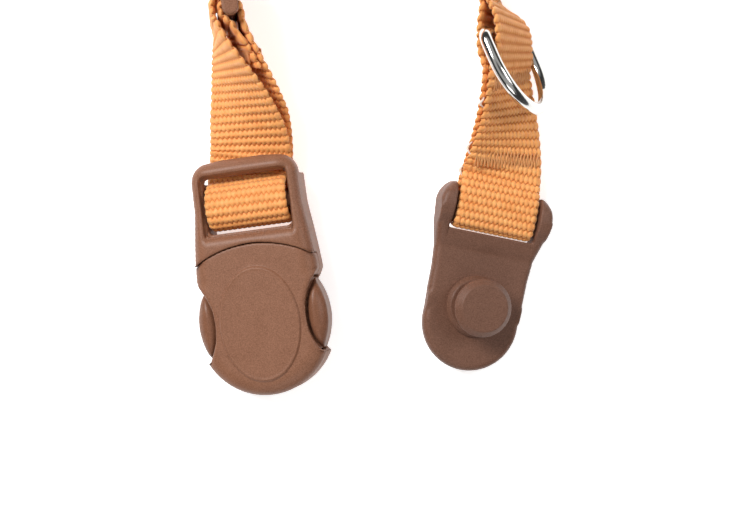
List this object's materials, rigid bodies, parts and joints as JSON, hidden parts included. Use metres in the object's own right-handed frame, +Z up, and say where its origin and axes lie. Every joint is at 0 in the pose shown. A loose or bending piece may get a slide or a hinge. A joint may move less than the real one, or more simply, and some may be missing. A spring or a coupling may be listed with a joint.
{
  "type": "luggage strap",
  "caption": "Adjustable woven webbing strap with a side-button stud buckle, a sewn-in D-ring and a plastic slider, lying on a table.",
  "frame": {"origin": "the middle of the object's outline on the table it lies on", "axes": "+Z up, +Y from the two buckle halves towards the far end of the loop, +X from the socket half to the stud half"},
  "size_m": [0.0885, 0.193, 0.0274],
  "materials": {
    "buckle_plastic": "satin, fine spark-eroded grain",
    "button_plastic": "satin, fine spark-eroded grain",
    "plate_plastic": "satin, fine spark-eroded grain",
    "slider_plastic": "satin",
    "webbing": "woven nylon, rice grain",
    "thread": "polyester thread",
    "ring_metal": "bright plated",
    "spring_steel": "drawn wire"
  },
  "bodies": {
    "strap": {"webbing": "webbing", "slider": "slider_plastic", "plate_stitching": "thread", "ring_lower_stitching": "thread", "ring_upper_stitching": "thread", "slider_stitching": "thread"},
    "buckle": {"female_frame": "buckle_plastic", "front_cover": "buckle_plastic", "left_spring": "spring_steel", "right_spring": "spring_steel"},
    "left_push": {"left_button": "button_plastic"},
    "right_push": {"right_button": "button_plastic"},
    "stud_plate": {"male_plate": "plate_plastic", "stud": "plate_plastic"},
    "ring": {"d_ring": "ring_metal"}
  },
  "joints": [
    {"name": "buckle_swing", "type": "hinge", "parent": "strap", "child": "buckle", "pos_m": [-0.0297, -0.05038, 0.00915], "axis": [0.9768, 0.1251, 0.1736], "range_deg": [-4, 10]},
    {"name": "plate_swing", "type": "hinge", "parent": "strap", "child": "stud_plate", "pos_m": [0.02957, -0.05258, 0.00637], "axis": [0.9558, -0.1893, -0.225], "range_deg": [-4, 4]},
    {"name": "ring_swing", "type": "hinge", "parent": "strap", "child": "ring", "pos_m": [0.0316, -0.0111, 0.0122], "axis": [-0.4999, -0.0036, 0.8661], "range_deg": [0, 125]},
    {"name": "left_button_press", "type": "slide", "parent": "buckle", "child": "left_push", "axis": [0.9768, 0.1251, 0.1736], "range_m": [0, 0.0022], "stiffness_N_per_m": 400, "springref_m": -0.0015, "deforming": ["left_spring"]},
    {"name": "right_button_press", "type": "slide", "parent": "buckle", "child": "right_push", "axis": [-0.9768, -0.1251, -0.1736], "range_m": [0, 0.0022], "stiffness_N_per_m": 400, "springref_m": -0.0015, "deforming": ["right_spring"]}
  ]
}
